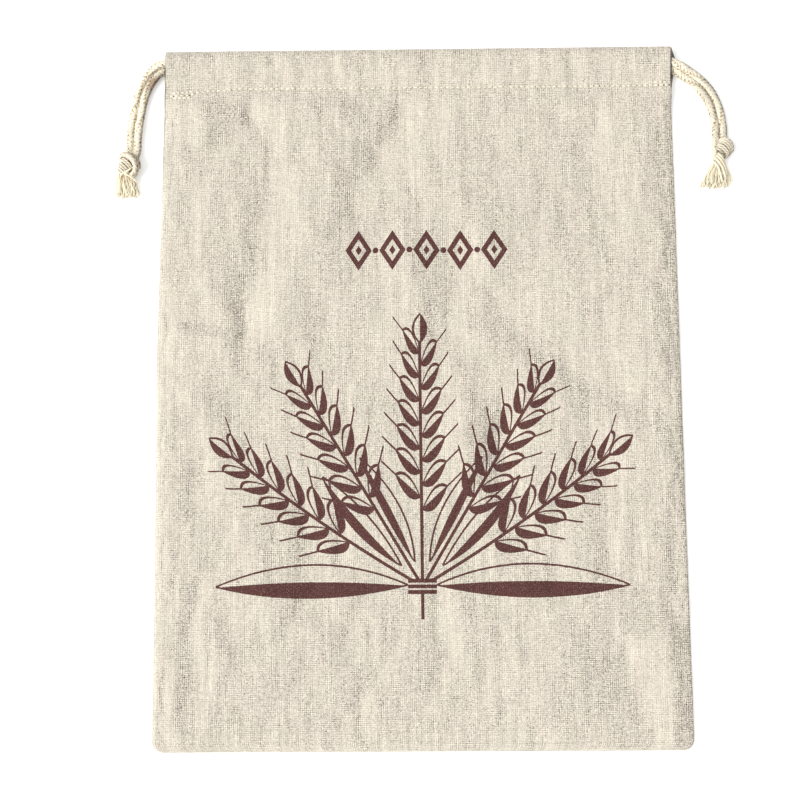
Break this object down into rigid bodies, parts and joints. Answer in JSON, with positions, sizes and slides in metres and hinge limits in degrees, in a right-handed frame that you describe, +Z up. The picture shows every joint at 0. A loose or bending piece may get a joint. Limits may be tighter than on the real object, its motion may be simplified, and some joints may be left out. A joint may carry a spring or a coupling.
{
  "type": "drawstring bread bag",
  "caption": "Flat empty cotton bread bag with sewn sides, a casing at the mouth, and braided drawstrings knotted and frayed at both sides.",
  "frame": {"origin": "on the surface that the bag lies on, under the middle of the cloth", "axes": "+X to the right of the front, +Y towards the mouth, +Z up from the surface"},
  "size_m": [0.357, 0.4, 0.0094],
  "materials": {
    "cotton_cloth": "plain woven unbleached cotton, matt",
    "braided_cord": "braided cream cotton, matt"
  },
  "bodies": {
    "root": {"front_panel": "cotton_cloth", "back_panel": "cotton_cloth", "front_drawstring": "braided_cord", "back_drawstring": "braided_cord", "left_knot": "braided_cord", "right_knot": "braided_cord"}
  },
  "joints": []
}
